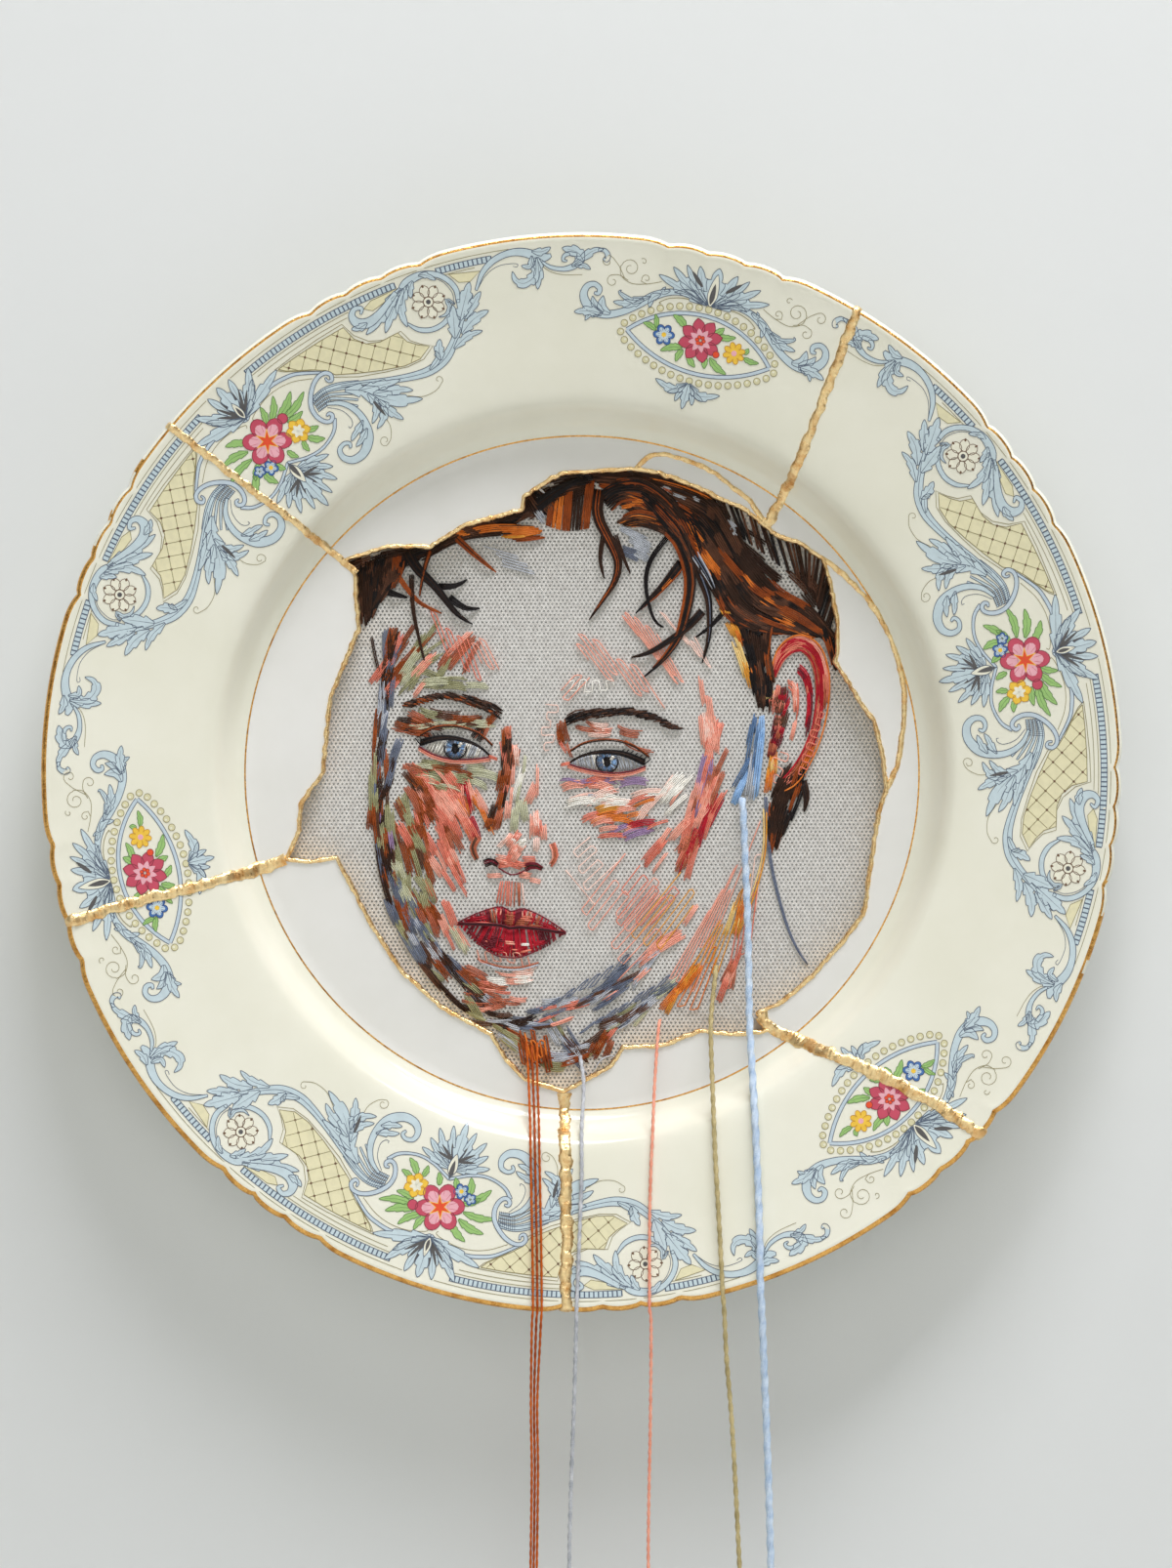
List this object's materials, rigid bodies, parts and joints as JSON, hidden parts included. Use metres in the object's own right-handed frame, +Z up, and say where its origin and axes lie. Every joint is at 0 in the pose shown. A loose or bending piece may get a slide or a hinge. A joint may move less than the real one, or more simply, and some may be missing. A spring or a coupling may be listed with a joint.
{
  "type": "broken plate",
  "caption": "Broken round dinner plate rejoined with raised gold seams, its open centre closed by an embroidered net with loose thread tails hanging below.",
  "frame": {"origin": "on the plate's axis, in the plane of the foot ring's flat back, which is the wall it hangs on", "axes": "+Y along the plate's axis, from its face into the wall; +Z up; +X to the right of someone facing the plate"},
  "size_m": [0.2706, 0.0271, 0.3875],
  "materials": {
    "glazed_porcelain": "gloss",
    "gold_leaf": "leafed",
    "tulle": "matte",
    "dark_cotton": "matte",
    "skin_cotton": "matte",
    "brown_cotton": "matte",
    "grey_cotton": "matte",
    "pink_cotton": "matte",
    "olive_cotton": "matte",
    "blue_cotton": "matte"
  },
  "bodies": {
    "root": {"sherd_top": "glazed_porcelain", "sherd_left": "glazed_porcelain", "sherd_lower_left": "glazed_porcelain", "sherd_lower_right": "glazed_porcelain", "sherd_right": "glazed_porcelain", "sliver_top": "glazed_porcelain", "sliver_right": "glazed_porcelain", "seam_upper_left": "gold_leaf", "seam_upper_right": "gold_leaf", "seam_lower_right": "gold_leaf", "seam_bottom": "gold_leaf", "seam_left": "gold_leaf", "seam_sliver_top": "gold_leaf", "seam_sliver_right": "gold_leaf", "gold_edging": "gold_leaf", "net": "tulle", "hair_stitching": "dark_cotton", "face_stitching": "skin_cotton", "ear_stitching": "skin_cotton", "neck_stitching": "skin_cotton", "tail_brown_left": "brown_cotton", "tail_brown_middle": "brown_cotton", "tail_brown_right": "brown_cotton", "tail_grey": "grey_cotton", "tail_pink": "pink_cotton", "tail_olive": "olive_cotton", "tail_blue": "blue_cotton"}
  },
  "joints": []
}
